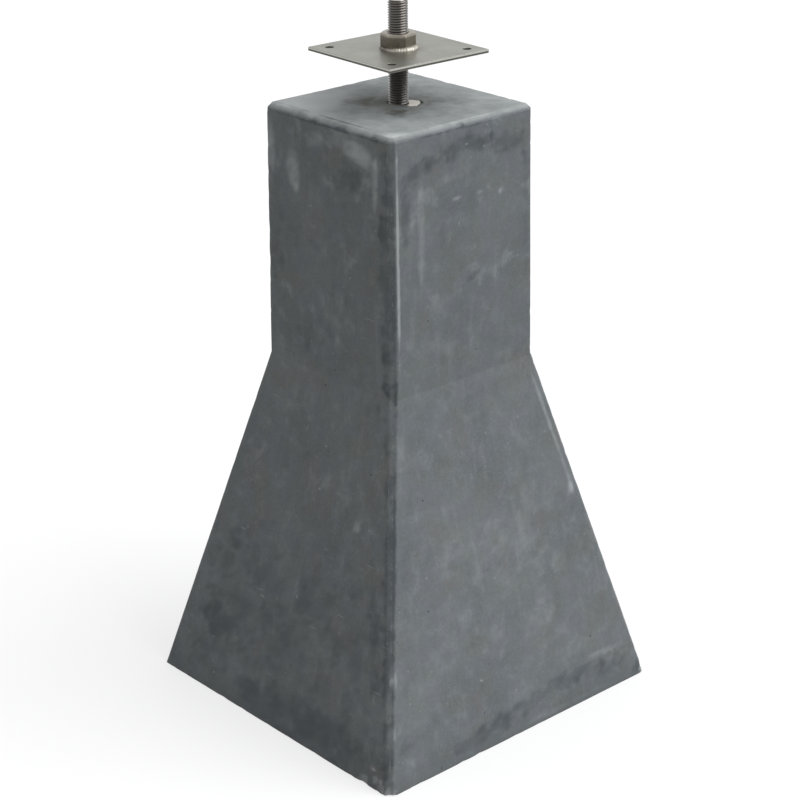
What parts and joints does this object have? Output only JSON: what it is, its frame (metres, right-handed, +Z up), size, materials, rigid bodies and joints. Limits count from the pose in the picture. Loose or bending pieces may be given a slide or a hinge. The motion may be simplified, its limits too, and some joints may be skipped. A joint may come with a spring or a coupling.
{
  "type": "deck pier block",
  "caption": "Concrete pier block with a square head on a flared foot, and a square steel plate on a welded nut that screws up and down a threaded rod to level a deck post or beam.",
  "frame": {"origin": "middle of the foot's underside, on the ground", "axes": "+Z up along the threaded rod; X and Y square to the faces of the block"},
  "size_m": [0.3, 0.3, 0.587],
  "materials": {
    "cast_concrete": "smooth-cast anthracite concrete, mottled, with pale efflorescence and worn edges",
    "socket_steel": "bright machined steel, part hidden by cement film",
    "rod_steel": "rolled thread, dull zinc",
    "plate_steel": "dull zinc-plated sheet steel",
    "nut_steel": "dull zinc, heat-stained by the weld",
    "weld_metal": "bright rippled weld"
  },
  "bodies": {
    "block": {"concrete_block": "cast_concrete", "threaded_socket": "socket_steel", "threaded_rod": "rod_steel"},
    "plate": {"levelling_plate": "plate_steel", "hex_nut": "nut_steel", "weld_bead": "weld_metal"}
  },
  "joints": [
    {"name": "plate_lift", "type": "slide", "parent": "block", "child": "plate", "axis": [0, 0, 1], "range_m": [-0.04, 0.022]}
  ]
}
